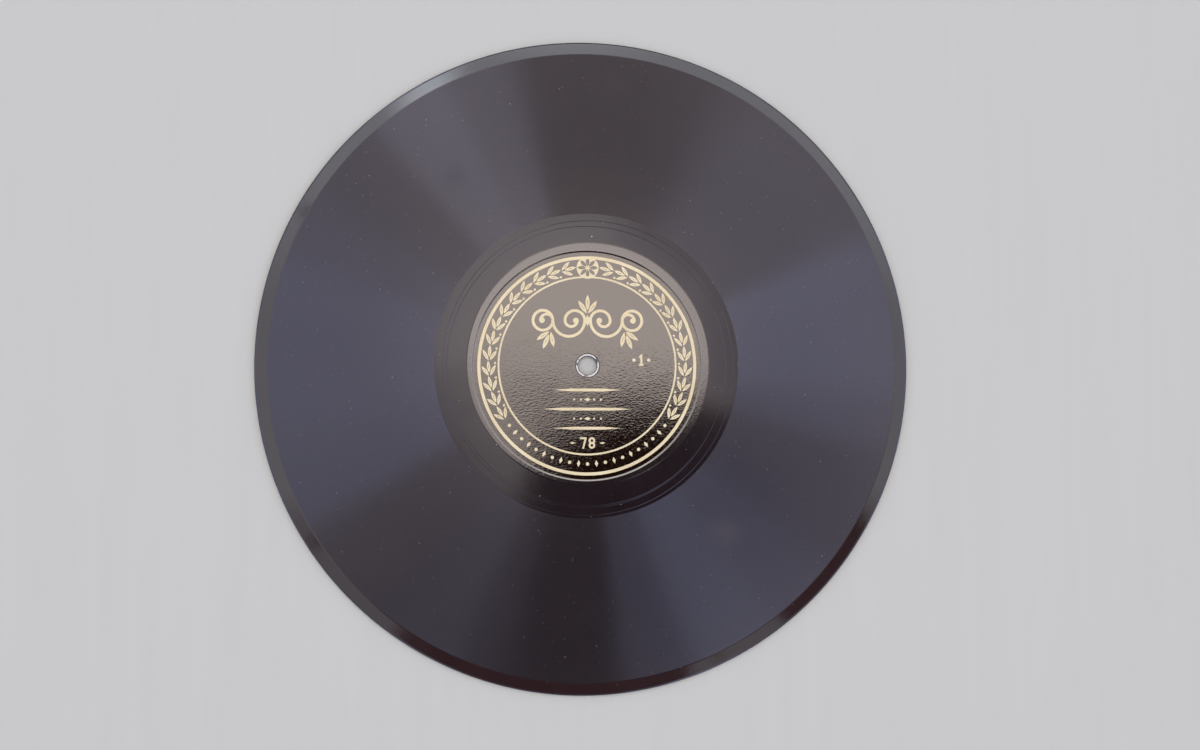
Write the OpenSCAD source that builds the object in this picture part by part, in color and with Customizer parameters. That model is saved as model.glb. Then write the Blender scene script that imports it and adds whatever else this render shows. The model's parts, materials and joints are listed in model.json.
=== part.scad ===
// A ten-inch double-faced gramophone record: a pressed disc, a paper label bonded into a
// seat on each face, and the metallic ink on each label. The record lies on Z = 0 and its
// spindle hole runs up the Z axis.

/* [Disc] */
// Outside diameter of the disc
disc_d = 254; // [250:0.5:258]
// Thickness between the two playing faces
disc_t = 2.1; // [1.8:0.05:3]
// How far each face falls across the smooth margin, down to the round edge
margin_drop = 0.25; // [0.1:0.05:0.5]
// Diameter of the spindle hole
hole_d = 7.3; // [7:0.05:7.6]
// Width of the bevel at each end of the spindle hole
hole_bevel_w = 0.8; // [0.2:0.05:1.2]
// Depth of the bevel at each end of the spindle hole
hole_bevel_depth = 0.25; // [0.05:0.05:0.4]

/* [Groove] */
// Width of the smooth margin between the edge and the recorded band
margin_w = 4.8; // [3:0.1:8]
// Diameter at which the recorded band ends
band_inner_d = 118; // [116:0.2:150]
// Spacing of the recorded turns
groove_pitch = 0.26; // [0.24:0.01:0.6]
// Recorded turns for each turn that is drawn
turns_per_line = 4; // [4:1:16]
// Width of the groove at the face
groove_w = 0.16; // [0.1:0.01:0.2]
// Depth of the groove
groove_depth = 0.07; // [0.04:0.005:0.1]
// Diameter of the closed stop groove
stop_d = 108.6; // [102:0.2:110]
// Half turns of the run-out groove between the band and the stop groove
run_out_half_turns = 3; // [1:1:6]
// Angle at which the run-out groove leaves the band
run_out_a = 155; // [0:5:355]

/* [Label seat] */
// Width of the polished ring around each label
ring_w = 2.2; // [1.5:0.1:4]
// Height of the ring above the playing face
ring_rise = 0.05; // [0.02:0.01:0.2]
// Width of the slope from the ring out to the playing face
ring_slope_w = 0.5; // [0.2:0.1:1]
// Width of the sloped step from the ring in to the label
step_w = 0.6; // [0.2:0.05:1]
// Depth of the label's face below the ring
label_sink = 0.12; // [0.08:0.01:0.25]

/* [Labels] */
// Diameter of each label
label_d = 88.2; // [86:0.1:92]
// Thickness of the label paper
label_t = 0.12; // [0.08:0.01:0.2]
// Gap between the edge of a label and its seat
label_fit = 0.05; // [0.02:0.01:0.1]
// Gap between the bevel of the spindle hole and the hole in each label
label_hole_fit = 0.05; // [0.02:0.01:0.4]

/* [Print frame] */
// Thickness of the ink
ink_t = 0.02; // [0.01:0.005:0.04]
// Width of the bare paper outside the border ring
border_gap = 1.5; // [1:0.05:2.5]
// Width of the border ring
border_w = 1.2; // [0.8:0.1:2]
// Width of the band between the border ring and the thin inner ring
frame_w = 6.6; // [6:0.1:7.5]
// Width of the thin inner ring
inner_ring_w = 0.7; // [0.3:0.1:1]
// Angle of the wreath's lower ends below the horizontal
wreath_end_a = 33; // [25:1:40]
// Leaf sprays on each side of the wreath
spray_count = 13; // [8:1:13]
// Length of a wreath leaf
leaf_l = 4.6; // [4.3:0.1:4.8]
// Width of a wreath leaf
leaf_w = 1.3; // [0.8:0.05:1.35]
// Angle of a side leaf to its stem
leaf_a = 32; // [31:1:40]
// How far the middle leaf of a spray stands ahead of its side leaves
leaf_lead = 1.2; // [1:0.1:1.4]
// Gap between the feet of a spray's side leaves
leaf_gap = 0.5; // [0.4:0.1:0.8]
// Width of the bare rib along a leaf
rib_w = 0.16; // [0.1:0.02:0.3]
// Diameter of a berry
berry_d = 0.9; // [0.5:0.1:1.4]
// Diameter of the rosette at the top of the wreath
rosette_d = 8.6; // [6:0.2:10]
// Petals of the rosette
petal_count = 8; // [5:1:12]
// Beads along the foot of the frame
bead_count = 21; // [9:2:23]
// Diameter of a round bead
bead_d = 1.3; // [0.6:0.1:1.6]

/* [Print panel] */
// Height of the flourish's axis above the spindle hole
flourish_y = 17.5; // [14:0.5:20]
// Radius of the flourish's large curl
curl_r = 6.2; // [4:0.1:6.5]
// Stroke of the flourish
stroke_w = 1.1; // [0.5:0.1:1.3]
// Length of a leaf on the flourish
sprig_l = 6; // [5.6:0.1:6.4]
// Width of a leaf on the flourish
sprig_w = 1.7; // [1:0.1:1.8]
// Angle between the leaves on the flourish
sprig_a = 34; // [33:1:40]
// Distance of the first rule below the spindle hole
rule_y = 9.5; // [8:0.5:12]
// Spacing of the rules and bead rows
line_pitch = 3.7; // [3:0.1:4]
// Length of the longest rule
rule_l = 34; // [20:1:40]
// Thickness of a rule at its middle
rule_w = 1.1; // [0.5:0.1:1.4]
// Length of the taper at each end of a rule
rule_taper = 7; // [3:0.5:10]
// Distance of the speed figures below the spindle hole
speed_y = 30; // [29:0.2:31]
// Height of the figures
digit_h = 4.4; // [2.5:0.1:4.8]
// Stroke of the figures
digit_stroke = 0.75; // [0.4:0.05:0.9]
// Gap between two figures
digit_gap = 0.8; // [0.4:0.1:1.5]
// Distance of the side figure from the spindle hole, along the panel
side_x = 21; // [14:0.5:26]

/* [Hidden] */
$fn = 96;

// Heights above the middle plane of the disc
face_h = disc_t / 2;
ring_h = face_h + ring_rise;
label_h = ring_h - label_sink;
seat_h = label_h - label_t;
edge_r = face_h - margin_drop;

// Radii of the disc's features
hole_r = hole_d / 2;
label_hole_r = hole_r + hole_bevel_w + label_hole_fit;
seat_r = label_d / 2 + label_fit;
ring_in_r = seat_r + step_w;
ring_out_r = ring_in_r + ring_w;
edge_x = disc_d / 2 - edge_r;

// Straight steps in each quarter of the round edge
edge_steps = 6;

// The recorded turns, the lines that are drawn for them, and the step of each half turn that
// brings the run-out down to the stop groove
band_outer_r = disc_d / 2 - margin_w;
band_inner_r = band_inner_d / 2;
stop_r = stop_d / 2;
turns = floor((band_outer_r - band_inner_r - groove_w) / groove_pitch) + 1;
first_turn_r = band_outer_r - groove_w / 2;
last_turn_r = first_turn_r - (turns - 1) * groove_pitch;
lines = ceil(turns / turns_per_line);
line_step = turns_per_line * groove_pitch;
run_out_start_r = last_turn_r - groove_pitch;
run_out_end_r = stop_r + groove_pitch;
run_out_step = (run_out_start_r - run_out_end_r) / run_out_half_turns;
cutter_lift = groove_depth / 4;

// Derived sizes of the print
border_r = label_d / 2 - border_gap;
border_in_r = border_r - border_w;
inner_ring_r = border_in_r - frame_w;
wreath_r = border_in_r - frame_w / 2;
digit_w = (digit_h + digit_stroke) / 2;

// Size of each smaller curl or bead against the one before it
curl_ratio = 0.62;
rule_count = 3;
row_beads = 5;

function reversed(list) = [for (i = [len(list) - 1 : -1 : 0]) list[i]];

// One V groove across a face, from its inner lip to its outer lip
function groove_at(r) = [
    [r - groove_w / 2, face_h],
    [r, face_h - groove_depth],
    [r + groove_w / 2, face_h]
];

// Half the section of the disc, from the spindle hole out to the middle of the edge
function face_outline() = concat(
    [
        [hole_r, seat_h - hole_bevel_depth],
        [hole_r + hole_bevel_w, seat_h],
        [seat_r, seat_h],
        [seat_r, label_h],
        [ring_in_r, ring_h],
        [ring_out_r, ring_h],
        [ring_out_r + ring_slope_w, face_h]
    ],
    groove_at(stop_r),
    [for (k = [lines - 1 : -1 : 0], p = groove_at(first_turn_r - k * line_step)) p],
    [[band_outer_r + groove_w, face_h]],
    [
        for (i = [0 : edge_steps])
            let (a = 90 - 90 * i / edge_steps)
                [edge_x + edge_r * cos(a), edge_r * sin(a)]
    ]
);

// The run-out groove as half turns about two centres, which spiral in anticlockwise
module run_out_half(r) {
    half = groove_w / 2 * (1 + cutter_lift / groove_depth);
    rotate_extrude(angle = 180)
        polygon([
            [r - half, face_h + cutter_lift],
            [r, face_h - groove_depth],
            [r + half, face_h + cutter_lift]
        ]);
}

module run_out() {
    shift = run_out_step / 2;
    for (k = [0 : run_out_half_turns - 1])
        rotate([0, 0, run_out_a + 180 * k])
            translate([shift, 0, 0])
                run_out_half(run_out_start_r - shift - k * run_out_step);
}

// Places a piece of the lower face by turning it over about the X axis
module on_face(upper) {
    translate([0, 0, ring_h]) rotate([upper ? 0 : 180, 0, 0]) children();
}

module disc() {
    color("#1d1918")
        difference() {
            translate([0, 0, ring_h])
                rotate_extrude()
                    polygon(concat(
                        face_outline(),
                        reversed([for (p = face_outline()) if (p[1] > 0) [p[0], -p[1]]])
                    ));
            on_face(true) run_out();
            on_face(false) run_out();
        }
}

module label(upper) {
    color("#26201d")
        on_face(upper)
            translate([0, 0, seat_h])
                difference() {
                    cylinder(d = label_d, h = label_t);
                    translate([0, 0, -label_t]) cylinder(r = label_hole_r, h = 3 * label_t);
                }
}

module front_label() label(true);

module back_label() label(false);

// A pointed leaf: two equal arcs that meet at both ends
module lens(l, w) {
    r = (l * l + w * w) / (4 * w);
    intersection() {
        translate([0, r - w / 2]) circle(r);
        translate([0, w / 2 - r]) circle(r);
    }
}

// A flat ring by its outside radius and its width
module ring(r, w) {
    difference() {
        circle(r);
        circle(r - w);
    }
}

// Half a ring of mean radius r, above or below the axis
module half_ring(r, w, above) {
    intersection() {
        ring(r + w / 2, w);
        translate([-2 * r, above ? 0 : -2 * r]) square([4 * r, 2 * r]);
    }
}

// A straight rule that tapers to a point at each end
module rule(l, w) {
    flat = l / 2 - rule_taper;
    polygon([
        [-l / 2, 0],
        [-flat, -w / 2],
        [flat, -w / 2],
        [l / 2, 0],
        [flat, w / 2],
        [-flat, w / 2]
    ]);
}

module lozenge(l, w) polygon([[-l / 2, 0], [0, -w / 2], [l / 2, 0], [0, w / 2]]);

// A leaf along +X from its foot, with a bare rib
module leaf(l, w) {
    translate([l / 2, 0])
        difference() {
            lens(l, w);
            lens(l - 2 * w, rib_w);
        }
}

// Three leaves along +X, of which the side ones stand clear of the middle one
module spray(l, w, a) {
    translate([leaf_lead, 0]) leaf(l, w);
    for (side = [-1, 1]) translate([0, side * leaf_gap / 2]) rotate(side * a) leaf(l, w);
}

module wreath() {
    rosette_a = asin((rosette_d / 2 + leaf_lead + leaf_l) / wreath_r);
    sweep = 90 + wreath_end_a - rosette_a;
    for (side = [0, 1], i = [0 : spray_count - 1])
        mirror([side, 0])
            rotate(i * sweep / (spray_count - 1) - wreath_end_a)
                translate([wreath_r, 0]) {
                    rotate(90) spray(leaf_l, leaf_w, leaf_a);
                    if (i < spray_count - 1) translate([-2 * leaf_w, leaf_l]) circle(d = berry_d);
                }
}

module rosette() {
    petal_l = rosette_d / 2 - 2 * rib_w - bead_d / 2;
    difference() {
        circle(d = rosette_d);
        for (i = [0 : petal_count - 1])
            rotate(360 * i / petal_count)
                translate([bead_d / 2 + petal_l / 2, 0])
                    lens(petal_l, petal_l * tan(180 / petal_count));
    }
}

module foot_beads() {
    foot_a = 90 - wreath_end_a - asin(leaf_w / wreath_r);
    for (i = [0 : bead_count - 1])
        rotate(-90 + foot_a * (2 * i / (bead_count - 1) - 1) * (1 - 1 / bead_count))
            translate([wreath_r, 0])
                if (i % 2 == 0) circle(d = bead_d); else lozenge(2 * bead_d, bead_d);
}

// A curl that winds in from the point (0, 0), turn by turn, and ends in a bead
module curl(r, above) {
    small = r * curl_ratio;
    translate([-r, 0]) half_ring(r, stroke_w, above);
    translate([small - 2 * r, 0]) half_ring(small, stroke_w, !above);
    translate([2 * small - 2 * r - stroke_w / 2, 0]) circle(d = 2 * stroke_w);
}

module flourish() {
    small = curl_r * curl_ratio;
    boss_l = 4 * stroke_w;
    for (side = [0, 1])
        mirror([side, 0]) {
            translate([stroke_w + curl_r, 0]) half_ring(curl_r, stroke_w, false);
            translate([stroke_w + 2 * curl_r + small, 0]) half_ring(small, stroke_w, true);
            translate([stroke_w + 2 * curl_r + 2 * small, 0]) curl(small, false);
            translate([stroke_w, 0]) mirror([1, 0]) curl(small, true);
            translate([2 * (stroke_w + curl_r), -small - stroke_w / 2])
                rotate(-2 * sprig_a)
                    spray(sprig_l, sprig_w, sprig_a);
        }
    lozenge(boss_l / 2, boss_l);
    translate([0, (boss_l + stroke_w) / 2]) rotate(90) spray(sprig_l, sprig_w, sprig_a);
}

module digit_1() {
    translate([(digit_w - digit_stroke) / 2, 0]) square([digit_stroke, digit_h]);
    translate([digit_w / 6, 0]) square([digit_w * 2 / 3, digit_stroke]);
    polygon([
        [digit_w / 2, digit_h],
        [digit_w / 6, digit_h - digit_stroke],
        [digit_w / 6, digit_h - 2 * digit_stroke],
        [digit_w / 2, digit_h - digit_stroke]
    ]);
}

module digit_2() {
    translate([digit_w / 2, digit_h - digit_w / 2])
        half_ring((digit_w - digit_stroke) / 2, digit_stroke, true);
    polygon([
        [digit_w, digit_h - digit_w / 2],
        [digit_w - digit_stroke, digit_h - digit_w / 2],
        [0, digit_stroke],
        [0, 0],
        [digit_stroke, 0]
    ]);
    square([digit_w, digit_stroke]);
}

module digit_7() {
    polygon([
        [0, digit_h],
        [digit_w, digit_h],
        [digit_w, digit_h - digit_stroke],
        [digit_w / 3 + digit_stroke, 0],
        [digit_w / 3, 0],
        [digit_w - digit_stroke, digit_h - digit_stroke],
        [0, digit_h - digit_stroke]
    ]);
}

module digit_8() {
    for (y = [digit_w / 2, digit_h - digit_w / 2])
        translate([digit_w / 2, y]) ring(digit_w / 2, digit_stroke);
}

module speed_figures() {
    translate([-digit_w - digit_gap / 2, 0]) digit_7();
    translate([digit_gap / 2, 0]) digit_8();
    for (side = [-1, 1])
        translate([side * (digit_w + 4 * digit_gap), digit_h / 2]) lozenge(3 * digit_gap, digit_gap);
}

// Tapered rules with a row of beads under each but the last
module title_rules() {
    middle = (rule_count - 1) / 2;
    half_row = (row_beads - 1) / 2;
    for (i = [0 : rule_count - 1]) {
        translate([0, -2 * i * line_pitch]) rule(rule_l - 2 * abs(i - middle) * line_pitch, rule_w);
        if (i < rule_count - 1)
            for (k = [-half_row : half_row])
                translate([k * 2 * bead_d, -(2 * i + 1) * line_pitch])
                    if (k == 0) lozenge(2 * bead_d, bead_d); else circle(d = bead_d * curl_ratio);
    }
}

module side_figure(side) {
    if (side == 1) digit_1(); else digit_2();
    for (x = [-2 * digit_gap, digit_w + 2 * digit_gap])
        translate([x, digit_h / 2]) circle(d = bead_d);
}

module print_art(side) {
    ring(border_r, border_w);
    ring(inner_ring_r, inner_ring_w);
    wreath();
    translate([0, wreath_r]) rosette();
    foot_beads();
    translate([0, flourish_y]) flourish();
    translate([0, -rule_y]) title_rules();
    translate([0, -speed_y - digit_h / 2]) speed_figures();
    translate([side_x - digit_w / 2, 0]) side_figure(side);
}

module label_print(upper, side) {
    color("#cdb06a")
        on_face(upper)
            translate([0, 0, label_h])
                linear_extrude(height = ink_t)
                    print_art(side);
}

module front_print() label_print(true, 1);

module back_print() label_print(false, 2);

disc();
front_label();
back_label();
front_print();
back_print();
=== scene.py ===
"""A ten-inch shellac record lying on a pale floor: the pressed disc with its spiral groove on both faces,
and two glazed paper labels printed in bronze ink."""
import json
import math

import bpy
import numpy as np
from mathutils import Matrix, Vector
from mathutils.geometry import delaunay_2d_cdt


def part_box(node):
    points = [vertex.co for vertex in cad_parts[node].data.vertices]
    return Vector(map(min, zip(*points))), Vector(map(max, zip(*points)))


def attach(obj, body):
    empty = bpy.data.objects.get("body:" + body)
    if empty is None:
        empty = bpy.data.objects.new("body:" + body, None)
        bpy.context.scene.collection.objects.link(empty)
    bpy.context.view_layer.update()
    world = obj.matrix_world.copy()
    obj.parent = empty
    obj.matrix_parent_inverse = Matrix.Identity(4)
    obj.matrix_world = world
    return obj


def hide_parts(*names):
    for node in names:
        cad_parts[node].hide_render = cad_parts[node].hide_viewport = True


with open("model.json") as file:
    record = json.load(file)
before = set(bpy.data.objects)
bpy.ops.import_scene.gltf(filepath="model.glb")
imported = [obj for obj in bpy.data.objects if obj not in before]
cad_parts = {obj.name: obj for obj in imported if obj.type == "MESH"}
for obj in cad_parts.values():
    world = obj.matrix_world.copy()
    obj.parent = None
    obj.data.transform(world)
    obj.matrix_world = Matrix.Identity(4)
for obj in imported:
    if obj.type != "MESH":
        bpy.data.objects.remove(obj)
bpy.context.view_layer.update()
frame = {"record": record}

# Sizes in millimetres. Heights are above the middle plane of the disc.
MM = 0.001
disc_low, disc_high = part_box("disc")
label_low, label_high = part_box("front_label")
print_low, print_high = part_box("front_print")
bore = next(m for m in frame["record"]["mounts"] if m["name"] == "spindle_hole")
MIDDLE_Z = (disc_low.z + disc_high.z) / 2 / MM
DISC_R = disc_high.x / MM
RING_H = disc_high.z / MM - MIDDLE_Z
LABEL_R = label_high.x / MM
LABEL_H = label_high.z / MM - MIDDLE_Z
SEAT_H = label_low.z / MM - MIDDLE_Z
INK_T = (print_high.z - print_low.z) / MM
BORDER_R = print_high.x / MM
HOLE_R = bore["dims"]["r_mm"]

# The faces of the disc
RING_RISE = 0.05
FACE_H = RING_H - RING_RISE
HOLE_BEVEL_W = 0.8
HOLE_BEVEL_DEPTH = 0.25
LABEL_FIT = 0.05
LABEL_HOLE_R = HOLE_R + HOLE_BEVEL_W + LABEL_FIT
SEAT_R = LABEL_R + LABEL_FIT
STEP_W = 0.6
RING_W = 2.2
RING_IN_R = SEAT_R + STEP_W
RING_OUT_R = RING_IN_R + RING_W
RING_SLOPE_W = 0.5
# The ring's outer foot is pressed a little off the spindle hole's axis
RING_FOOT_SHIFT = Vector((0.5, 0.8, 0))
MARGIN_W = 4.8
MARGIN_LIP_W = 0.16
MARGIN_DROP = 0.25
EDGE_R = FACE_H - MARGIN_DROP

# The groove
BAND_OUTER_R = DISC_R - MARGIN_W
BAND_INNER_R = 59
BAND_BED_DEPTH = 0.4
BAND_LIP_DROP = 0.006
GROOVE_PITCH = 0.26
# Worn grooves are wider and less steep than new ones
FINE_GROOVE_W = 0.2
LINE_GROOVE_W = 0.2
GROOVE_SLOPE = 0.5
STOP_R = 54.3
# The flat row outside the stop groove, and the groove widths from there to the end of the run-out
STOP_GAP = 0.06
STOP_SPACE = 0.6
RUN_OUT_TURNS = 1.5
RUN_OUT_START_A = 155
# Turns over which a groove grows from its start and runs out at its end, and the least share of its width
LINE_FADE = 0.1
FINE_FADE = 0.03
LEAST_WIDTH = 0.08

# Width of the narrow flat rows that keep a face flat up to the slope beside it
FLAT_ROW_W = 0.02

# Points round a closed row of the disc, and round one turn of the fine groove
DISC_SEGMENTS = 512
BAND_SEGMENTS = 128

# Rows across a soft slope, the hole's bevel, the round edge and a label
SLOPE_ROWS = 6
BEVEL_ROWS = 12
EDGE_ROWS = 13
LABEL_ROWS = 24

# Camera: the eye above the disc, its tilt, and its focal length in pixels of a 1200 x 750 image
IMAGE_W = 1200
FOCAL_PIXELS = 1320.9
EYE = Vector((-40.55, -27.17, 512.1)) * MM
EYE_TILT = (0.04587, -0.08877, 0)

# Floor, in metres
FLOOR_HALF_W = 3.0
FLOOR_GAP = 0.02 * MM


class Field:
    """A socket in a node tree. Arithmetic on it adds Math nodes, and add() makes any other node."""

    def __init__(self, tree, socket=None):
        self.tree = tree
        self.socket = socket

    def add(self, kind, settings, inputs, output=0):
        node = self.tree.nodes.new(kind)
        for name, value in settings.items():
            setattr(node, name, value)
        for name, value in inputs.items():
            if isinstance(value, Field):
                self.tree.links.new(value.socket, node.inputs[name])
            else:
                node.inputs[name].default_value = value
        return Field(self.tree, node.outputs[output])

    def math(self, operation, *values):
        return self.add("ShaderNodeMath", {"operation": operation}, dict(enumerate(values)))

    def vector(self, operation, *values, output=0):
        return self.add("ShaderNodeVectorMath", {"operation": operation}, dict(enumerate(values)), output)

    def __add__(self, other):
        return self.math("ADD", self, other)

    __radd__ = __add__

    def __sub__(self, other):
        return self.math("SUBTRACT", self, other)

    def __rsub__(self, other):
        return self.math("SUBTRACT", other, self)

    def __mul__(self, other):
        return self.math("MULTIPLY", self, other)

    __rmul__ = __mul__

    def __truediv__(self, other):
        return self.math("DIVIDE", self, other)

    def __pow__(self, other):
        return self.math("POWER", self, other)

    def step(self, low, high):
        """A soft step: 0 at low and 1 at high."""
        settings = {"interpolation_type": "SMOOTHSTEP"}
        return self.add("ShaderNodeMapRange", settings, {"Value": self, "From Min": low, "From Max": high})

    def axis(self, name):
        return self.add("ShaderNodeSeparateXYZ", {}, {0: self}, "XYZ".index(name))

    def mix(self, low, high):
        """The colour low where this value is 0, and high where it is 1."""
        settings = {"data_type": "RGBA"}
        return self.add("ShaderNodeMix", settings, {0: self, 6: low, 7: high}, 2)

    def noise(self, place, scale, detail=3, roughness=0.5):
        sockets = {"Vector": place, "Scale": scale, "Detail": detail, "Roughness": roughness}
        return self.add("ShaderNodeTexNoise", {}, sockets)

    def bump(self, height, distance):
        return self.add("ShaderNodeBump", {}, {"Height": height, "Distance": distance, "Strength": 1})


def colour(red, green, blue):
    return (red, green, blue, 1)


def new_material(name):
    """A material, a field on its tree and its surface shader."""
    material = bpy.data.materials.new(name)
    material.use_nodes = True
    shader = material.node_tree.nodes["Principled BSDF"]
    return material, Field(material.node_tree), shader


def feed(field, shader, **sockets):
    """Links fields, and sets plain values, on the surface shader."""
    for name, value in sockets.items():
        title = name.replace("_", " ").title().replace("Ior", "IOR")
        socket = shader.inputs[title]
        if isinstance(value, Field):
            field.tree.links.new(value.socket, socket)
        else:
            socket.default_value = value


def place_mm(field):
    """The place on the record in millimetres."""
    spot = field.add("ShaderNodeTexCoord", {}, {}, "Object")
    return field.vector("MULTIPLY", spot, (1 / MM, 1 / MM, 1 / MM))


def distance_from_axis(spot):
    return (spot.axis("X") ** 2 + spot.axis("Y") ** 2) ** 0.5


def smudge(spot, radius, angle, size):
    """A soft round smudge: 1 in its middle, which lies at a radius and at an angle in degrees."""
    a = math.radians(angle)
    flat = spot.vector("MULTIPLY", spot, (1, 1, 0))
    away = flat.vector("DISTANCE", flat, (radius * math.cos(a), radius * math.sin(a), 0), output="Value")
    return 1 - (away + size * spot.noise(spot, 1 / size, 3)).step(0.6 * size, 1.5 * size)


def smudges(spot, places):
    return sum(smudge(spot, *place) for place in places)


# Materials

SHELLAC_IOR = 1.62
NEAR_BLACK = (0.013, 0.0078, 0.0082)
DARK_BROWN = (0.024, 0.0112, 0.0106)

# Smudges on the smooth parts and on the band, places where the film of polish is worn off, and the place
# where the label's grain is deepest: radius, angle in degrees and size
SMOOTH_SMUDGES = [(58, 67, 5), (50, 200, 6)]
BAND_SMUDGES = [(89, 125, 7), (111, 85, 6), (84, 310, 9)]
FILM_WEAR = [(52, 12, 42), (52, 58, 36)]
DEEP_GRAIN = (26, 205, 17)


def smooth_shellac(name, tone, roughness, gloss, tint, ripple, film=0, dusty=1):
    """Compound without a groove, as brown, as polished, as even and as dusty as its place on the disc. A film
    of polish is worn off at one side."""
    material, field, shader = new_material(name)
    spot = place_mm(field)
    marks = smudges(spot, SMOOTH_SMUDGES)
    clouds = field.noise(spot, 0.06, 4)
    scuffs = field.noise(field.vector("MULTIPLY", spot, (0.4, 2.2, 1)), 0.9, 5, 0.65).step(0.55, 0.72)
    dust = dusty * field.noise(spot, 0.9, 2).step(0.755, 0.775)
    base = clouds.mix(colour(*[0.8 * part for part in tone]), colour(*[1.2 * part for part in tone]))
    base = (scuffs * 0.15).mix(base, colour(0.04, 0.034, 0.033))
    base = dust.mix(base, colour(0.45, 0.44, 0.42))
    height = field.noise(spot, 0.5, 3) + ripple * field.noise(spot, 1.4, 2)
    rough = roughness + 0.04 * clouds + 0.06 * scuffs + 0.3 * dust + 0.05 * marks
    feed(field, shader, base_color=base, roughness=rough, ior=SHELLAC_IOR, specular_ior_level=gloss,
         specular_tint=tint, normal=field.bump(height, 0.004 * MM))
    if film:
        left = film * (1 - smudges(spot, FILM_WEAR))
        feed(field, shader, coat_weight=left, coat_roughness=roughness)
    return material


def worn_shellac():
    """The bevel of the spindle hole, painted pale in patches round its middle: partly scuffs from spindles
    and partly a painted highlight.
    """
    material, field, shader = new_material("worn_shellac")
    spot = place_mm(field)
    radius = distance_from_axis(spot)
    patches = field.noise(spot, 0.4, 3).step(0.4, 0.54)
    # The pale ring on the bevel is partly spindle scuffs and partly a painted highlight
    scuffs_and_highlight = radius.step(HOLE_R + 0.12, HOLE_R + 0.3) * (1 - radius.step(LABEL_HOLE_R - 0.15, LABEL_HOLE_R))
    scuffs_and_highlight = scuffs_and_highlight * (0.15 + 0.85 * patches)
    base = scuffs_and_highlight.mix(colour(0.013, 0.009, 0.009), colour(0.7, 0.65, 0.56))
    feed(field, shader, base_color=base, roughness=0.55, ior=SHELLAC_IOR,
         normal=field.bump(field.noise(spot, 3, 3), 0.02 * MM))
    return material


def grooved_shellac():
    """The recorded band: silky flanks whose sheen runs across the groove."""
    material, field, shader = new_material("grooved_shellac")
    spot = place_mm(field)
    radius = distance_from_axis(spot)
    rings = field.add("ShaderNodeCombineXYZ", {}, {"X": radius})
    passages = field.noise(rings, 0.35, 5, 0.7)
    clouds = field.noise(spot, 0.035, 3)
    dust = field.noise(spot, 1.3, 2).step(0.742, 0.767)
    marks = smudges(spot, BAND_SMUDGES)
    roughness = 0.08 + 0.09 * passages + 0.03 * clouds + 0.2 * dust + 0.12 * marks
    base = clouds.mix(colour(0.012, 0.0078, 0.0078), colour(0.017, 0.0115, 0.0112))
    base = dust.mix(base, colour(0.18, 0.175, 0.17))
    feed(field, shader, base_color=base, roughness=roughness, ior=SHELLAC_IOR,
         specular_tint=colour(1, 0.93, 0.945))
    return material


def glazed_label_paper():
    """Black glazed paper with the fine pressed grain that breaks up its reflections."""
    material, field, shader = new_material("glazed_label_paper")
    spot = place_mm(field)
    radius = distance_from_axis(spot)
    grain = field.noise(field.vector("MULTIPLY", spot, (1, 2.1, 1)), 0.85, 2, 0.45)
    waves = field.noise(spot, 0.12, 2)
    wear = field.noise(spot, 0.8, 5, 0.7)
    handled = (1 - radius.step(HOLE_R, HOLE_R + 5)) * wear.step(0.45, 0.7)
    rubbed = wear.step(0.66, 0.76)
    rim = 1 - radius.step(LABEL_HOLE_R + 0.15, LABEL_HOLE_R + 0.4)
    base = waves.mix(colour(0.0072, 0.0026, 0.0012), colour(0.0095, 0.0038, 0.0018))
    base = (0.5 * handled + 0.1 * rubbed).mix(base, colour(0.10, 0.085, 0.07))
    roughness = 0.03 + 0.03 * wear + 0.25 * handled + 0.08 * rubbed + 0.5 * rim
    deep = smudge(spot, *DEEP_GRAIN)
    height = (2.75 + 4.5 * deep) * grain + 4 * waves
    feed(field, shader, base_color=base, roughness=roughness, ior=SHELLAC_IOR, specular_ior_level=0.54,
         specular_tint=colour(0.96, 0.9, 0.89), normal=field.bump(height, 0.006 * MM))
    return material


def bronze_ink():
    """Pale gold bronze ink, a little uneven where the paper shows through."""
    material, field, shader = new_material("bronze_ink")
    spot = place_mm(field)
    grain = field.noise(spot, 3.5, 3, 0.6)
    tarnish = field.noise(spot, 0.09, 3)
    thin = field.noise(spot, 2.2, 4, 0.7).step(0.68, 0.78)
    base = tarnish.step(0.3, 0.7).mix(colour(0.62, 0.518, 0.302), colour(0.69, 0.59, 0.365))
    base = (0.5 * thin).mix(base, colour(0.30, 0.22, 0.10))
    roughness = 0.42 + 0.16 * grain
    metal = 0.35 - 0.2 * thin
    feed(field, shader, base_color=base, roughness=roughness, metallic=metal,
         normal=field.bump(grain, 0.006 * MM))
    return material


def floor_paint():
    """Plain pale paint, faintly brushed."""
    material, field, shader = new_material("pale_floor")
    spot = place_mm(field)
    brushed = field.noise(field.vector("MULTIPLY", spot, (1, 0.06, 1)), 0.12, 5, 0.65)
    base = brushed.mix(colour(0.483, 0.47, 0.395), colour(0.52, 0.507, 0.428))
    feed(field, shader, base_color=base, roughness=0.6)
    return material


# Meshes

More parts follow.
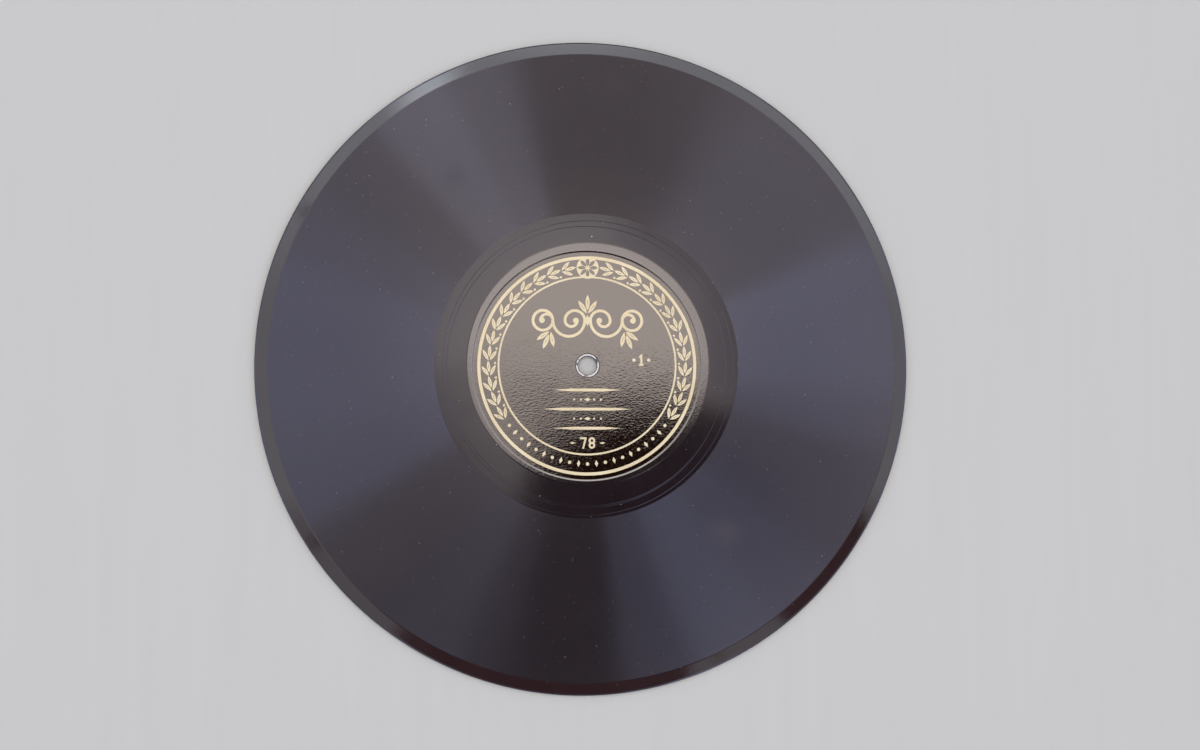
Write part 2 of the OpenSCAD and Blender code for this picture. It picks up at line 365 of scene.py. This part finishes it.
class Skin:
    """The points and faces of one piece, in millimetres. Rows run anticlockwise seen from above."""

    def __init__(self, segments):
        self.segments = segments
        self.points = []
        self.faces = []

    def point(self, radius, turn, height):
        angle = 2 * math.pi * turn
        self.points.append((radius * math.cos(angle), radius * math.sin(angle), height))
        return len(self.points) - 1

    def row(self, radius, height):
        """A closed row of points. Its first point is repeated at the end of the list."""
        row = [self.point(radius, i / self.segments, height) for i in range(self.segments)]
        return row + row[:1]

    def strip(self, first, second):
        """Faces between two rows of one outline, which runs out over the upper face and back below."""
        for i in range(len(first) - 1):
            self.faces.append((second[i], second[i + 1], first[i + 1], first[i]))

    def fan(self, middle, row):
        """Faces between one point and a row."""
        for i in range(len(row) - 1):
            self.faces.append((middle, row[i], row[i + 1]))

    def lathe(self, outline, start=None):
        """Turns an outline of (radius, height) points, from a given row on, and returns its last row."""
        last = start
        for radius, height in outline:
            row = self.row(radius, height)
            if last:
                self.strip(last, row)
            last = row
        return last

    def started(self, row, place):
        """A closed row that starts at another place round it."""
        first = place % self.segments
        return row[first:-1] + row[:first + 1]

    def spiral(self, lead, start, turns, section, height, fade, outer, inner):
        """Fills the face between two closed rows with a groove that winds in anticlockwise from a start angle
        in degrees. lead(t) is the radius of its outer lip after t turns, and section lists its rows as
        (distance inwards, depth)."""
        size = self.segments
        first = round(start / 360 * size)
        count = round(turns * size)
        outer = self.started(outer, first)
        inner = self.started(inner, first + count)

        def groove_row(offset, depth):
            row = []
            for n in range(count + 1):
                t = n / size
                ease = min(1, t / fade, (turns - t) / fade)
                radius = lead(t) - offset * max(ease, LEAST_WIDTH)
                row.append(self.point(radius, (first + n) / size, height - depth * ease))
            return row

        rows = [groove_row(*part) for part in section]
        lip = rows[0]
        lip[0] = outer[0]
        for n in range(count + 1, count + size):
            lip.append(self.point(lead(n / size), (first + n) / size, height))
        lip.append(inner[0])
        for row, following in zip(rows, rows[1:]):
            self.strip(following[:count + 1], row[:count + 1])
        self.strip(lip[size:], rows[-1])
        # Flat wedges lead in from the outer row and out to the inner one
        self.faces.append((outer[0], outer[1], lip[1]))
        self.strip(lip[1:size], outer[1:size])
        self.fan(lip[size - 1], [outer[size - 1], *[row[0] for row in rows], lip[size]])
        self.fan(lip[count + 1], [inner[1], inner[0], *[row[count] for row in reversed(rows)]])
        self.strip(inner[1:size], lip[count + 1:count + size])
        self.faces.append((lip[count + size - 1], inner[0], inner[size - 1]))

    def turned_over(self):
        """A copy for the lower face, turned over about the X axis."""
        copy = Skin(self.segments)
        copy.points = [(x, -y, -z) for x, y, z in self.points]
        copy.faces = list(self.faces)
        return copy

    def joined(self, other):
        """One skin of two, without the points that they share."""
        both = Skin(self.segments)
        places = {}
        for skin in (self, other):
            index = []
            for point in skin.points:
                key = tuple(round(c, 6) + 0.0 for c in point)
                if key not in places:
                    places[key] = len(both.points)
                    both.points.append(point)
                index.append(places[key])
            both.faces += [tuple(index[i] for i in face) for face in skin.faces]
        return both


def eased(start, end):
    """Points of a soft slope between two points of an outline, without the first."""
    points = []
    for i in range(1, SLOPE_ROWS + 1):
        t = i / SLOPE_ROWS
        rise = t * t * (3 - 2 * t)
        points.append((start[0] + (end[0] - start[0]) * t, start[1] + (end[1] - start[1]) * rise))
    return points


def v_groove(width):
    """Rows of a groove, as (distance across, depth)."""
    return [(0, 0), (width / 2, GROOVE_SLOPE * width / 2), (width, 0)]


def flat_sided(groove):
    """A groove with a narrow flat row at each side, which keeps the face around it flat."""
    width = groove[-1][0]
    sunk = [(FLAT_ROW_W + across, depth) for across, depth in groove]
    return [(0, 0), *sunk, (width + 2 * FLAT_ROW_W, 0)]


def disc_body_skin():
    """The disc with both faces, and with a sunk bed for each recorded band."""
    skin = Skin(DISC_SEGMENTS)
    lip = BAND_OUTER_R * math.cos(math.pi / BAND_SEGMENTS) - BAND_LIP_DROP
    bed = FACE_H - BAND_BED_DEPTH
    ring_in = (RING_IN_R, RING_H)
    ring_out = (RING_OUT_R, RING_H)
    edge_x = DISC_R - EDGE_R
    groove = flat_sided(v_groove(LINE_GROOVE_W))
    groove_w = groove[-1][0]
    inside = [
        (HOLE_R, 0),
        *[(HOLE_R + HOLE_BEVEL_W * (1 - math.cos(a)), SEAT_H - HOLE_BEVEL_DEPTH * (1 - math.sin(a)))
          for a in np.linspace(0, math.pi / 2, BEVEL_ROWS)],
        (SEAT_R, SEAT_H),
        (SEAT_R, LABEL_H),
        *eased((SEAT_R, LABEL_H), ring_in),
        (RING_IN_R + FLAT_ROW_W, RING_H),
        (RING_OUT_R - FLAT_ROW_W, RING_H),
        ring_out,
        *eased(ring_out, (RING_OUT_R + RING_SLOPE_W, FACE_H)),
        (RING_OUT_R + RING_SLOPE_W + FLAT_ROW_W, FACE_H),
        *[(STOP_R - groove_w / 2 + across, FACE_H - depth) for across, depth in groove],
    ]
    run_out_end = STOP_R + groove_w / 2 + STOP_GAP
    run_out_pitch = (BAND_INNER_R - run_out_end - STOP_SPACE * groove_w) / RUN_OUT_TURNS

    def run_out(t):
        past = max(0, t - RUN_OUT_TURNS)
        left = BAND_INNER_R - run_out_pitch * min(t, RUN_OUT_TURNS)
        return left + (run_out_end - left) * past

    inner = skin.lathe(inside + [(run_out_end, FACE_H)])
    outer = skin.row(BAND_INNER_R, FACE_H)
    skin.spiral(run_out, RUN_OUT_START_A, RUN_OUT_TURNS, groove, FACE_H, LINE_FADE, outer, inner)
    margin_in = BAND_OUTER_R + MARGIN_LIP_W
    margin_fall = MARGIN_DROP / (edge_x - margin_in)
    margin = [
        (BAND_INNER_R, bed),
        (lip, bed),
        (lip, FACE_H),
        (margin_in, FACE_H),
        (margin_in + FLAT_ROW_W, FACE_H - margin_fall * FLAT_ROW_W),
        (edge_x - FLAT_ROW_W, EDGE_R + margin_fall * FLAT_ROW_W),
        *[(edge_x + EDGE_R * math.cos(a), EDGE_R * math.sin(a))
          for a in np.linspace(math.pi / 2, 0, EDGE_ROWS)],
    ]
    skin.lathe(margin, outer)
    return skin.joined(skin.turned_over())


def groove_band_skin():
    """The recorded band as a closed ring with one unbroken groove on top."""
    skin = Skin(BAND_SEGMENTS)
    top = FACE_H - BAND_LIP_DROP
    bed = FACE_H - BAND_BED_DEPTH
    turns = int((BAND_OUTER_R - BAND_INNER_R) / GROOVE_PITCH) - 1
    pitch = (BAND_OUTER_R - BAND_INNER_R) / (turns + 1)
    inner = skin.row(BAND_INNER_R, top)
    outer = skin.row(BAND_OUTER_R, top)
    groove = v_groove(FINE_GROOVE_W)
    skin.spiral(lambda t: BAND_OUTER_R - pitch * t, 0, turns, groove, top, FINE_FADE, outer, inner)
    below = skin.lathe([(BAND_OUTER_R, bed), (BAND_INNER_R, bed)], outer)
    skin.strip(below, inner)
    return skin


def label_skin():
    """A flat paper ring."""
    skin = Skin(DISC_SEGMENTS)
    steps = np.linspace(LABEL_HOLE_R, LABEL_R, LABEL_ROWS)
    outline = [(LABEL_HOLE_R, SEAT_H)] + [(r, LABEL_H) for r in steps] + [(LABEL_R, SEAT_H)]
    first = skin.row(*outline[0])
    last = skin.lathe(outline[1:], first)
    skin.strip(last, first)
    return skin


def add_piece(name, skin, materials, node, sharp_angle):
    """Puts a skin into the scene as a piece that stands for a solid. Each material comes with the radius
    that it reaches out to."""
    mesh = bpy.data.meshes.new(name)
    places = [(x * MM, y * MM, (z + MIDDLE_Z) * MM) for x, y, z in skin.points]
    mesh.from_pydata(places, [], skin.faces)
    mesh.validate()
    mesh.polygons.foreach_set("use_smooth", [True] * len(mesh.polygons))
    mesh.set_sharp_from_angle(angle=math.radians(sharp_angle))
    for _, material in materials:
        mesh.materials.append(material)
    for polygon in mesh.polygons:
        radius = polygon.center.xy.length / MM
        polygon.material_index = sum(radius > reach for reach, _ in materials)
    piece = bpy.data.objects.new(name, mesh)
    bpy.context.scene.collection.objects.link(piece)
    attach(piece, "root")
    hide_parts(node)
    return piece


# The print on the labels. A shape is an outline and the outlines of its bare places.

FRAME_W = 6.6
BORDER_W = 1.2
BORDER_IN_R = BORDER_R - BORDER_W
INNER_RING_R = BORDER_IN_R - FRAME_W
INNER_RING_W = 0.7
WREATH_R = BORDER_IN_R - FRAME_W / 2
WREATH_END_A = 33
SPRAY_COUNT = 13
LEAF_L, LEAF_W, LEAF_A = 4.6, 1.3, 32
LEAF_LEAD = 1.2
LEAF_GAP = 0.5
RIB_W = 0.16
BERRY_D = 0.9
ROSETTE_D = 8.6
PETAL_COUNT = 8
BEAD_COUNT = 21
BEAD_D = 1.3
FLOURISH_Y = 17.5
CURL_R = 6.2
CURL_RATIO = 0.62
STROKE_W = 1.1
SPRIG_L, SPRIG_W, SPRIG_A = 6, 1.7, 34
RULE_Y = 9.5
RULE_COUNT = 3
RULE_L, RULE_W, RULE_TAPER = 34, 1.1, 7
LINE_PITCH = 3.7
ROW_BEADS = 5
SPEED_Y = 30
DIGIT_H = 4.4
DIGIT_STROKE = 0.75
DIGIT_GAP = 0.8
DIGIT_W = (DIGIT_H + DIGIT_STROKE) / 2
SIDE_X = 21

# Straight steps round a border ring, a bead, a half turn of a curl and one side of a leaf
RING_STEPS = 256
BEAD_STEPS = 32
CURL_STEPS = 40
LEAF_STEPS = 14

# How the outlines are filled: with the triangles inside them, where points this close count as one
INSIDE_TRIANGLES = 1
SAME_POINT = 1e-6


def arc(radius, start, end, steps, centre=(0, 0)):
    """Points of an arc between two angles in degrees, both ends included."""
    angles = [math.radians(start + (end - start) * i / steps) for i in range(steps + 1)]
    return [(centre[0] + radius * math.cos(a), centre[1] + radius * math.sin(a)) for a in angles]


def moved(shapes, turn=0, shift=(0, 0), mirrored=False):
    """Shapes turned by an angle in degrees, then shifted, then mirrored about the Y axis."""
    c = math.cos(math.radians(turn))
    s = math.sin(math.radians(turn))

    def place(point):
        x = point[0] * c - point[1] * s + shift[0]
        y = point[0] * s + point[1] * c + shift[1]
        return (-x, y) if mirrored else (x, y)

    return [[[place(p) for p in outline] for outline in shape] for shape in shapes]


def circle(diameter):
    return [[arc(diameter / 2, 0, 360, BEAD_STEPS)[:-1]]]


def ring(radius, width, steps=RING_STEPS):
    return [[arc(radius, 0, 360, steps)[:-1], arc(radius - width, 0, 360, steps)[:-1]]]


def half_ring(radius, width, above):
    side = 180 if above else -180
    outer = arc(radius + width / 2, 0, side, CURL_STEPS)
    return [[outer + arc(radius - width / 2, side, 0, CURL_STEPS)]]


def lozenge(length, width):
    return [[[(-length / 2, 0), (0, -width / 2), (length / 2, 0), (0, width / 2)]]]


def lens(length, width):
    """The outline of a pointed leaf: two equal arcs that meet at both ends."""
    radius = (length ** 2 + width ** 2) / (4 * width)
    half = math.degrees(math.asin(length / 2 / radius))
    lower = arc(radius, 270 - half, 270 + half, LEAF_STEPS, (0, radius - width / 2))
    upper = arc(radius, 90 - half, 90 + half, LEAF_STEPS, (0, width / 2 - radius))
    return lower[:-1] + upper[:-1]


def leaf(length, width):
    return moved([[lens(length, width), lens(length - 2 * width, RIB_W)]], 0, (length / 2, 0))


def spray(length, width, angle):
    shapes = moved(leaf(length, width), 0, (LEAF_LEAD, 0))
    for side in (-1, 1):
        shapes += moved(leaf(length, width), side * angle, (0, side * LEAF_GAP / 2))
    return shapes


def wreath():
    rosette_a = math.degrees(math.asin((ROSETTE_D / 2 + LEAF_LEAD + LEAF_L) / WREATH_R))
    sweep = 90 + WREATH_END_A - rosette_a
    shapes = []
    for i in range(SPRAY_COUNT):
        cluster = moved(spray(LEAF_L, LEAF_W, LEAF_A), 90, (WREATH_R, 0))
        if i < SPRAY_COUNT - 1:
            cluster += moved(circle(BERRY_D), 0, (WREATH_R - 2 * LEAF_W, LEAF_L))
        turn = i * sweep / (SPRAY_COUNT - 1) - WREATH_END_A
        shapes += moved(cluster, turn) + moved(cluster, turn, mirrored=True)
    return shapes


def rosette():
    petal_l = ROSETTE_D / 2 - 2 * RIB_W - BEAD_D / 2
    petal = lens(petal_l, petal_l * math.tan(math.pi / PETAL_COUNT))
    shape = circle(ROSETTE_D)[0]
    for i in range(PETAL_COUNT):
        bare = moved([[petal]], 0, (BEAD_D / 2 + petal_l / 2, 0))
        shape += moved(bare, 360 * i / PETAL_COUNT)[0]
    return [shape]


def foot_beads():
    foot_a = 90 - WREATH_END_A - math.degrees(math.asin(LEAF_W / WREATH_R))
    shapes = []
    for i in range(BEAD_COUNT):
        bead = circle(BEAD_D) if i % 2 == 0 else lozenge(2 * BEAD_D, BEAD_D)
        turn = -90 + foot_a * (2 * i / (BEAD_COUNT - 1) - 1) * (1 - 1 / BEAD_COUNT)
        shapes += moved(moved(bead, 0, (WREATH_R, 0)), turn)
    return shapes


def curl(radius, above):
    """A curl that winds in from the point (0, 0) and ends in a bead."""
    small = radius * CURL_RATIO
    shapes = moved(half_ring(radius, STROKE_W, above), 0, (-radius, 0))
    shapes += moved(half_ring(small, STROKE_W, not above), 0, (small - 2 * radius, 0))
    return shapes + moved(circle(2 * STROKE_W), 0, (2 * small - 2 * radius - STROKE_W / 2, 0))


def flourish():
    small = CURL_R * CURL_RATIO
    boss_l = 4 * STROKE_W
    side = moved(half_ring(CURL_R, STROKE_W, False), 0, (STROKE_W + CURL_R, 0))
    side += moved(half_ring(small, STROKE_W, True), 0, (STROKE_W + 2 * CURL_R + small, 0))
    side += moved(curl(small, False), 0, (STROKE_W + 2 * CURL_R + 2 * small, 0))
    side += moved(curl(small, True), 0, (-STROKE_W, 0), mirrored=True)
    sprig = spray(SPRIG_L, SPRIG_W, SPRIG_A)
    side += moved(sprig, -2 * SPRIG_A, (2 * (STROKE_W + CURL_R), -small - STROKE_W / 2))
    middle = lozenge(boss_l / 2, boss_l) + moved(sprig, 90, (0, (boss_l + STROKE_W) / 2))
    return side + moved(side, mirrored=True) + middle


def rule(length, width):
    """A straight rule that tapers to a point at each end."""
    flat = length / 2 - RULE_TAPER
    return [[[
        (-length / 2, 0), (-flat, -width / 2), (flat, -width / 2),
        (length / 2, 0), (flat, width / 2), (-flat, width / 2),
    ]]]


def title_rules():
    middle = (RULE_COUNT - 1) / 2
    half_row = ROW_BEADS // 2
    shapes = []
    for i in range(RULE_COUNT):
        line = rule(RULE_L - 2 * abs(i - middle) * LINE_PITCH, RULE_W)
        shapes += moved(line, 0, (0, -2 * i * LINE_PITCH))
        for k in range(-half_row, half_row + 1):
            bead = circle(BEAD_D * CURL_RATIO) if k else lozenge(2 * BEAD_D, BEAD_D)
            if i < RULE_COUNT - 1:
                shapes += moved(bead, 0, (k * 2 * BEAD_D, -(2 * i + 1) * LINE_PITCH))
    return shapes


def box_shape(low, size):
    x, y = low
    w, h = size
    return [[[(x, y), (x + w, y), (x + w, y + h), (x, y + h)]]]


def digit(figure):
    """The figures 1, 2, 7 and 8 from strokes, standing on the X axis."""
    w, h, stroke = DIGIT_W, DIGIT_H, DIGIT_STROKE
    if figure == 1:
        flag = [(w / 2, h), (w / 6, h - stroke), (w / 6, h - 2 * stroke), (w / 2, h - stroke)]
        stem = box_shape(((w - stroke) / 2, 0), (stroke, h))
        return stem + box_shape((w / 6, 0), (w * 2 / 3, stroke)) + [[flag]]
    if figure == 2:
        neck = [(w, h - w / 2), (w - stroke, h - w / 2), (0, stroke), (0, 0), (stroke, 0)]
        bow = moved(half_ring((w - stroke) / 2, stroke, True), 0, (w / 2, h - w / 2))
        return bow + [[neck]] + box_shape((0, 0), (w, stroke))
    if figure == 7:
        return [[[
            (0, h), (w, h), (w, h - stroke), (w / 3 + stroke, 0),
            (w / 3, 0), (w - stroke, h - stroke), (0, h - stroke),
        ]]]
    eye = ring(w / 2, stroke, CURL_STEPS)
    return moved(eye, 0, (w / 2, w / 2)) + moved(eye, 0, (w / 2, h - w / 2))


def speed_figures():
    shapes = moved(digit(7), 0, (-DIGIT_W - DIGIT_GAP / 2, 0)) + moved(digit(8), 0, (DIGIT_GAP / 2, 0))
    for side in (-1, 1):
        star = lozenge(3 * DIGIT_GAP, DIGIT_GAP)
        shapes += moved(star, 0, (side * (DIGIT_W + 4 * DIGIT_GAP), DIGIT_H / 2))
    return shapes


def side_figure(side):
    shapes = digit(side)
    for x in (-2 * DIGIT_GAP, DIGIT_W + 2 * DIGIT_GAP):
        shapes += moved(circle(BEAD_D), 0, (x, DIGIT_H / 2))
    return shapes


def print_shapes(side):
    return (
        ring(BORDER_R, BORDER_W)
        + ring(INNER_RING_R, INNER_RING_W)
        + wreath()
        + moved(rosette(), 0, (0, WREATH_R))
        + foot_beads()
        + moved(flourish(), 0, (0, FLOURISH_Y))
        + moved(title_rules(), 0, (0, -RULE_Y))
        + moved(speed_figures(), 0, (0, -SPEED_Y - DIGIT_H / 2))
        + moved(side_figure(side), 0, (SIDE_X - DIGIT_W / 2, 0))
    )


def anticlockwise(outline):
    area = sum(a[0] * b[1] - b[0] * a[1] for a, b in zip(outline, outline[1:] + outline[:1]))
    return outline if area > 0 else outline[::-1]


def print_skin(side):
    """The inked shapes as one layer on the label: shapes that meet are joined, and bare places stay open."""
    places = []
    loops = []
    inked = []
    for shape in print_shapes(side):
        numbers = []
        for outline in shape:
            points = anticlockwise(outline)
            numbers.append(len(loops))
            loops.append(list(range(len(places), len(places) + len(points))))
            places += [Vector(p) for p in points]
        inked.append((numbers[0], set(numbers[1:])))
    filled = delaunay_2d_cdt(places, [], loops, INSIDE_TRIANGLES, SAME_POINT)
    flat, _, triangles, _, _, sources = filled
    kept = []
    for triangle, source in zip(triangles, sources):
        found = set(source)
        if any(solid in found and not bare & found for solid, bare in inked):
            kept.append(tuple(triangle))
    skin = Skin(DISC_SEGMENTS)
    used = sorted({i for triangle in kept for i in triangle})
    number = {old: new for new, old in enumerate(used)}
    top = [(flat[i].x, flat[i].y, LABEL_H + INK_T) for i in used]
    skin.points = top + [(x, y, LABEL_H) for x, y, _ in top]
    count = len(top)
    edges = set()
    for triangle in kept:
        a, b, c = (number[i] for i in triangle)
        skin.faces += [(a, b, c), (c + count, b + count, a + count)]
        edges |= {(a, b), (b, c), (c, a)}
    for a, b in sorted(edges):
        if (b, a) not in edges:
            skin.faces.append((b, a, a + count, b + count))
    return skin


# The studio

def oval(tilt, centre, reach, inner):
    """A soft oval in the sky: 1 inside, 0 outside. Centre and reach are slopes from straight up."""
    across = (tilt.axis("X") - centre[0]) / reach[0]
    along = (tilt.axis("Y") - centre[1]) / reach[1]
    return 1 - ((across ** 2 + along ** 2) ** 0.5).step(inner, 1)


def toward(way, angle, inner, outer):
    """1 where a way points within the inner angle of a compass angle, and 0 beyond the outer one. Angles are
    in degrees."""
    flat = way.vector("NORMALIZE", way.vector("MULTIPLY", way, (1, 1, 0)))
    a = math.radians(angle)
    facing = flat.vector("DOT_PRODUCT", flat, (math.cos(a), math.sin(a), 0), output="Value")
    return facing.step(math.cos(math.radians(outer)), math.cos(math.radians(inner)))


def around(way, parts):
    """The sum of parts of the light from all round: strength, compass angle, inner and outer half width."""
    return sum(strength * toward(way, *place) for strength, *place in parts)


# Ovals overhead: strength, centre, reach and the share of the reach that is even
CORE = (3.7, (0.07, 0.07), (0.155, 0.14), 0.55)
GLOWS = [
    (4, (-0.108, 0.377), (0.06, 0.1), 0.1),
    (1.7, (-0.03, 0.21), (0.07, 0.09), 0.3),
    (2.4, (0.0, 0.6), (0.5, 0.19), 0.5),
]
SHADES = [
    (1, (0.13, -0.0475), (0.109, 0.085), 0.85),
    (0.28, (0.015, 0.016), (0.095, 0.044), 0.82),
    (0.97, (0.03, -0.32), (0.187, 0.27), 0.88),
    (0.97, (0.362, -0.176), (0.08, 0.1), 0.85),
    (0.5, (0.28, -0.1), (0.16, 0.13), 0.6),
]
# Centres of the narrow dark bars that the margin mirrors
BARS = [(0.314, 0.344), (-0.248, 0.234), (-0.235, -0.151), (0.237, -0.286)]
SHADES += [(0.8, bar, (0.014, 0.014), 0.4) for bar in BARS]

# Parts of the light from all round
GAPS = [(0.73, 86, 22, 27), (1, 266, 14, 18), (0.38, 214, 12, 26), (0.42, 331, 14, 22)]
BLUES = [(1.1, 7, 15, 21), (1, 183, 24, 31), (0.75, 297, 12, 18), (0.4, 331, 16, 22)]
WHITES = [(1.8, 119, 5, 9), (0.25, 44, 20, 32), (0.15, 150, 12, 22)]
FLIP_LEAN = 1.32

WARM_LIGHT = colour(1, 0.925, 0.86)
COOL_LIGHT = colour(0.88, 0.94, 1.28)
BLUE_LIGHT = colour(0.66, 0.86, 1.5)
WHITE = colour(1, 1, 1)


def upper_sky(tilt, lean):
    """Light from overhead: a bright core, a brighter side towards +Y and a dark side towards -Y."""
    along = tilt.axis("Y")
    plain = 0.95 + 0.6 * along.step(-0.13, -0.09) + 0.8 * along.step(0.1, 0.3)
    light = (1 - lean.step(0.5, 0.85)) * plain + CORE[0] * oval(tilt, *CORE[1:])
    for depth, *place in SHADES:
        light = light * (1 - depth * oval(tilt, *place))
    return light + sum(strength * oval(tilt, *place) for strength, *place in GLOWS)


def lower_sky(way, lean):
    """Light from all round, half way up: its plain part, its blue part and the pale horizon."""
    high = way.axis("Z").step(0.2, 0.36)
    ring = lean.step(0.45, 0.75) * high
    low = 1 + 0.65 * lean.step(1.9, 2.7)
    # The two flanks of a groove mirror opposite sides of the ring, one above and one below this lean
    facing = way.vector("MULTIPLY", way, 2 * lean.math("GREATER_THAN", lean, FLIP_LEAN) - 1)
    plain = 0.75 * ring * low * (1 - 0.82 * around(facing, GAPS) + around(facing, WHITES))
    return plain, 0.72 * ring * around(facing, BLUES), 0.5 * (1 - high)


def build_world():
    world = bpy.data.worlds.new("studio")
    bpy.context.scene.world = world
    world.use_nodes = True
    field = Field(world.node_tree)
    way = field.add("ShaderNodeTexCoord", {}, {}, "Generated")
    up = field.math("MAXIMUM", way.axis("Z"), 0.02)
    tilt = field.add("ShaderNodeCombineXYZ", {}, {"X": way.axis("X") / up, "Y": way.axis("Y") / up})
    lean = field.vector("LENGTH", tilt, output="Value")
    plain, blue, horizon = lower_sky(way, lean)
    lights = [
        (WARM_LIGHT, upper_sky(tilt, lean)),
        (COOL_LIGHT, plain),
        (BLUE_LIGHT, blue),
        (WHITE, horizon),
    ]
    sky = None
    for tone, strength in lights:
        light = field.add("ShaderNodeEmission", {}, {"Color": tone, "Strength": strength})
        sky = field.add("ShaderNodeAddShader", {}, {0: sky, 1: light}) if sky else light
    world.node_tree.links.new(sky.socket, world.node_tree.nodes["World Output"].inputs["Surface"])


def build_floor():
    half = FLOOR_HALF_W
    low = -FLOOR_GAP
    corners = [(-half, -half, low), (half, -half, low), (half, half, low), (-half, half, low)]
    mesh = bpy.data.meshes.new("floor")
    mesh.from_pydata(corners, [], [(0, 1, 2, 3)])
    mesh.materials.append(floor_paint())
    floor = bpy.data.objects.new("floor", mesh)
    bpy.context.scene.collection.objects.link(floor)


def build_camera():
    lens_data = bpy.data.cameras.new("camera")
    lens_data.lens = lens_data.sensor_width * FOCAL_PIXELS / IMAGE_W
    camera = bpy.data.objects.new("camera", lens_data)
    camera.location = EYE
    camera.rotation_euler = EYE_TILT
    bpy.context.scene.collection.objects.link(camera)
    bpy.context.scene.camera = camera


def shift_ring_foot(mesh):
    """Moves the ring's outer foot off the axis, on both faces."""
    first = RING_OUT_R - 2 * FLAT_ROW_W
    last = RING_OUT_R + RING_SLOPE_W + 2 * FLAT_ROW_W
    for vertex in mesh.vertices:
        if first < vertex.co.xy.length / MM < last:
            vertex.co += RING_FOOT_SHIFT * MM


def line_grooves(mesh, material_index):
    """Gives the sunk faces between ring and band, which are the run-out and stop grooves, their material."""
    for polygon in mesh.polygons:
        radius = polygon.center.xy.length / MM
        depth = FACE_H - abs(polygon.center.z / MM - MIDDLE_Z)
        if RING_OUT_R < radius < BAND_INNER_R and depth > BAND_LIP_DROP / 2:
            polygon.material_index = material_index


def build_record():
    step = smooth_shellac("step_shellac", NEAR_BLACK, roughness=0.05, gloss=1.0, tint=WHITE, ripple=0.5)
    ring_face = smooth_shellac(
        "ring_shellac", NEAR_BLACK, roughness=0.05, gloss=0.53, tint=colour(1, 0.965, 0.985), ripple=3)
    run_out = smooth_shellac(
        "run_out_shellac", NEAR_BLACK, roughness=0.06, gloss=0.185, tint=colour(0.87, 0.87, 1), ripple=0.2,
        film=0.16)
    margin = smooth_shellac(
        "margin_shellac", DARK_BROWN, roughness=0.04, gloss=0.57, tint=colour(0.72, 0.85, 1), ripple=0.2,
        dusty=0.12)
    groove = grooved_shellac()
    smooth = [
        (LABEL_HOLE_R, worn_shellac()),
        (RING_IN_R, step),
        (RING_OUT_R + RING_SLOPE_W, ring_face),
        (BAND_INNER_R, run_out),
        (DISC_R, margin),
        (DISC_R, groove),
    ]
    grooved = [(BAND_INNER_R + GROOVE_PITCH / 2, run_out), (DISC_R, groove)]
    paper = [(DISC_R, glazed_label_paper())]
    ink = [(DISC_R, bronze_ink())]
    body = add_piece("disc_body", disc_body_skin(), smooth, "disc", sharp_angle=25)
    shift_ring_foot(body.data)
    line_grooves(body.data, len(smooth) - 1)
    band = groove_band_skin()
    label = label_skin()
    upper_print = print_skin(1)
    lower_print = print_skin(2).turned_over()
    add_piece("front_groove_band", band, grooved, "disc", sharp_angle=15)
    add_piece("back_groove_band", band.turned_over(), grooved, "disc", sharp_angle=15)
    add_piece("front_label_paper", label, paper, "front_label", sharp_angle=40)
    add_piece("back_label_paper", label.turned_over(), paper, "back_label", sharp_angle=40)
    add_piece("front_label_print", upper_print, ink, "front_print", sharp_angle=40)
    add_piece("back_label_print", lower_print, ink, "back_print", sharp_angle=40)


bpy.context.scene.view_settings.view_transform = "Standard"
build_camera()
build_world()
build_floor()
build_record()
